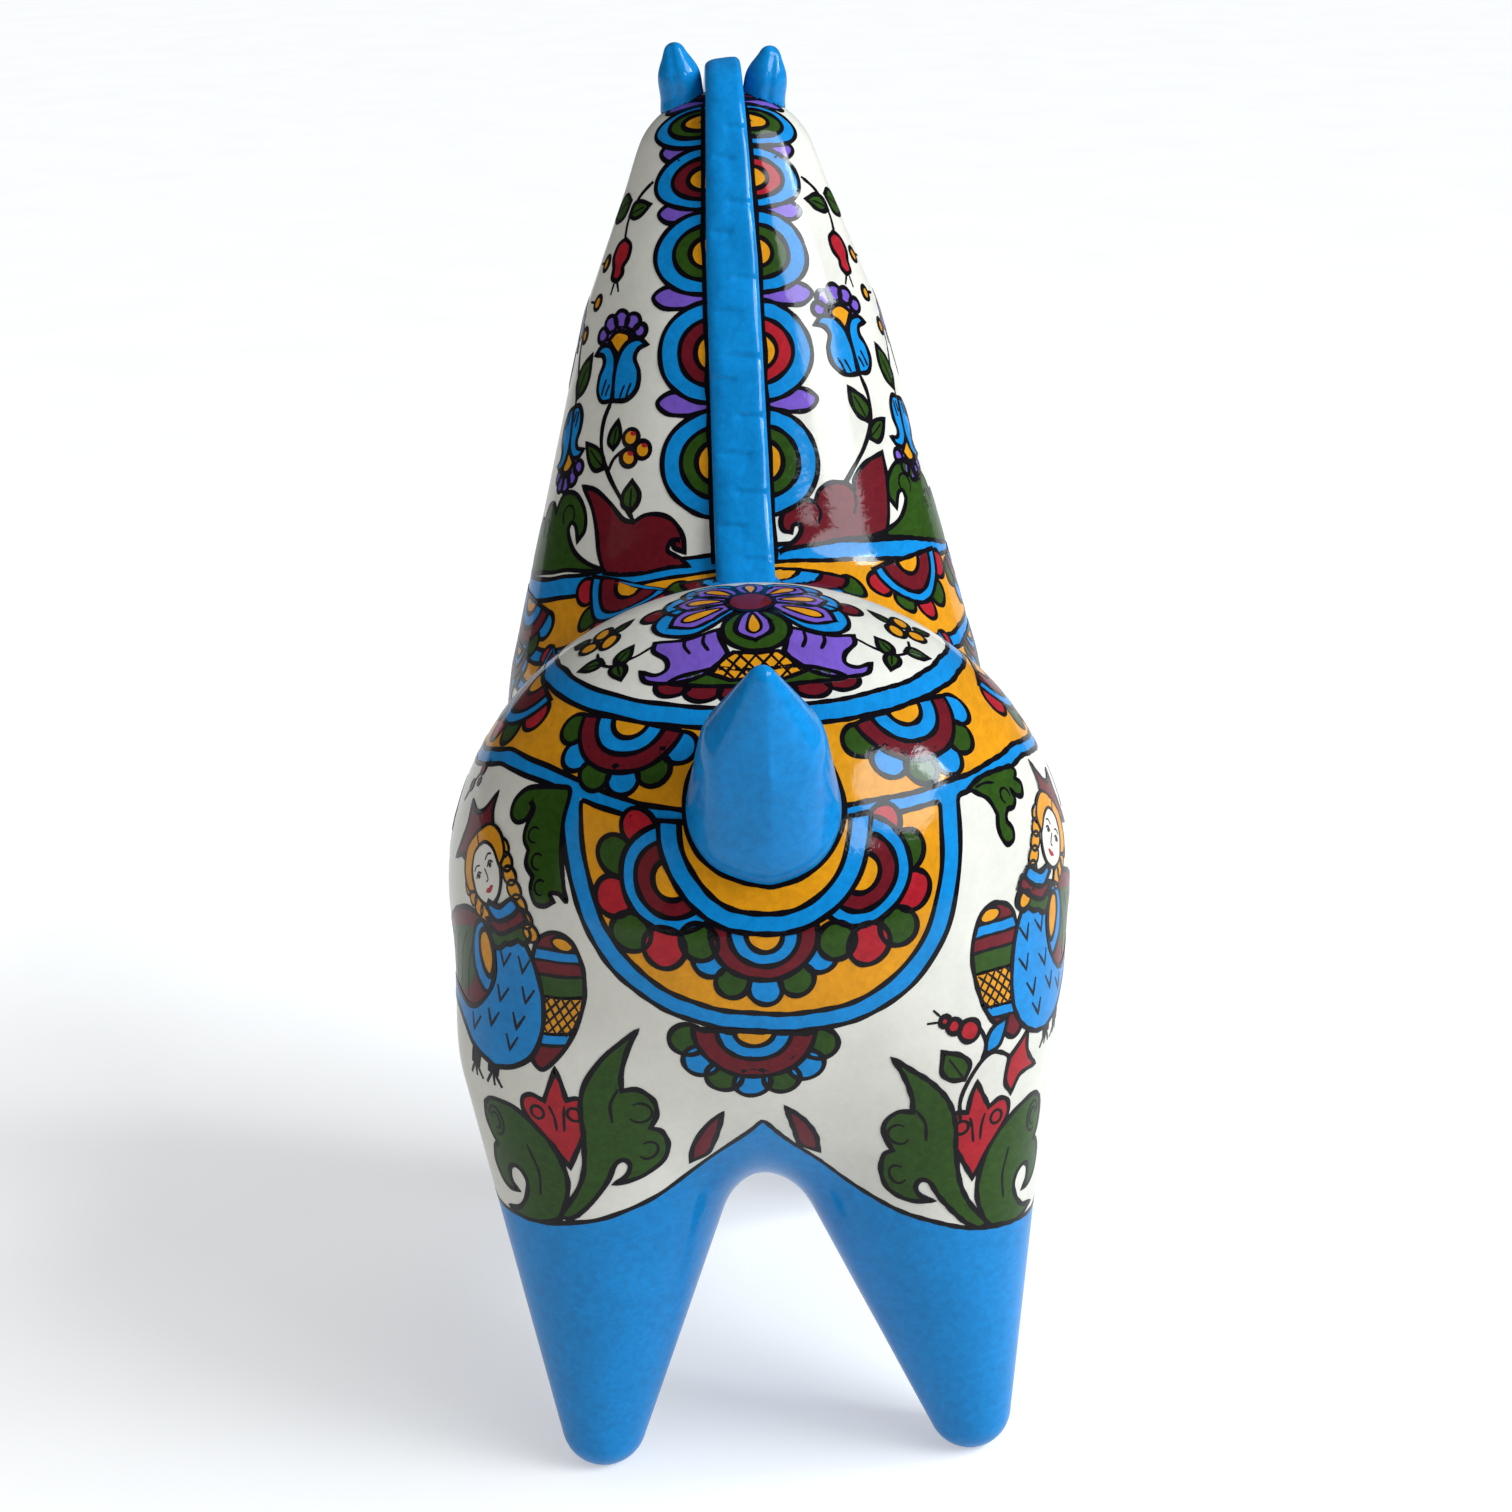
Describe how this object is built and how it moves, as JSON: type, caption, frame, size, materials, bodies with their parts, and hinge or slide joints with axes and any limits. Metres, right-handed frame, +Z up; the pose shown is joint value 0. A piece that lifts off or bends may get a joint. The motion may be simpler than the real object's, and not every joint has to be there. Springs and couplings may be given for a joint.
{
  "type": "carved folk horse figurine",
  "caption": "Carved and painted wooden folk-art horse that stands on tapering legs, with a raised mane crest, upright ears and a short pointed tail.",
  "frame": {"origin": "bottom centre of the horse's box, on the surface it stands on", "axes": "+Z up; the horse faces -Y, its tail points to +Y, and its left side is +X"},
  "size_m": [0.18, 0.3256, 0.3899],
  "materials": {
    "white_ground": "gesso white ground with painted ornament, gloss varnish",
    "blue_paint": "bright blue paint, gloss varnish",
    "bare_wood": "bare limewood, sealed inside the horse"
  },
  "bodies": {
    "root": {"torso": "white_ground", "neck_and_head": "white_ground", "mane_crest": "blue_paint", "tail": "blue_paint", "tail_dowel": "bare_wood", "neck_dowel_front": "bare_wood", "neck_dowel_rear": "bare_wood", "ear_left": "blue_paint", "ear_right": "blue_paint", "ear_dowel_left": "bare_wood", "ear_dowel_right": "bare_wood", "leg_hind_left": "blue_paint", "leg_hind_right": "blue_paint", "leg_front_left": "blue_paint", "leg_front_right": "blue_paint", "leg_dowel_hind_left": "bare_wood", "leg_dowel_hind_right": "bare_wood", "leg_dowel_front_left": "bare_wood", "leg_dowel_front_right": "bare_wood"}
  },
  "joints": []
}
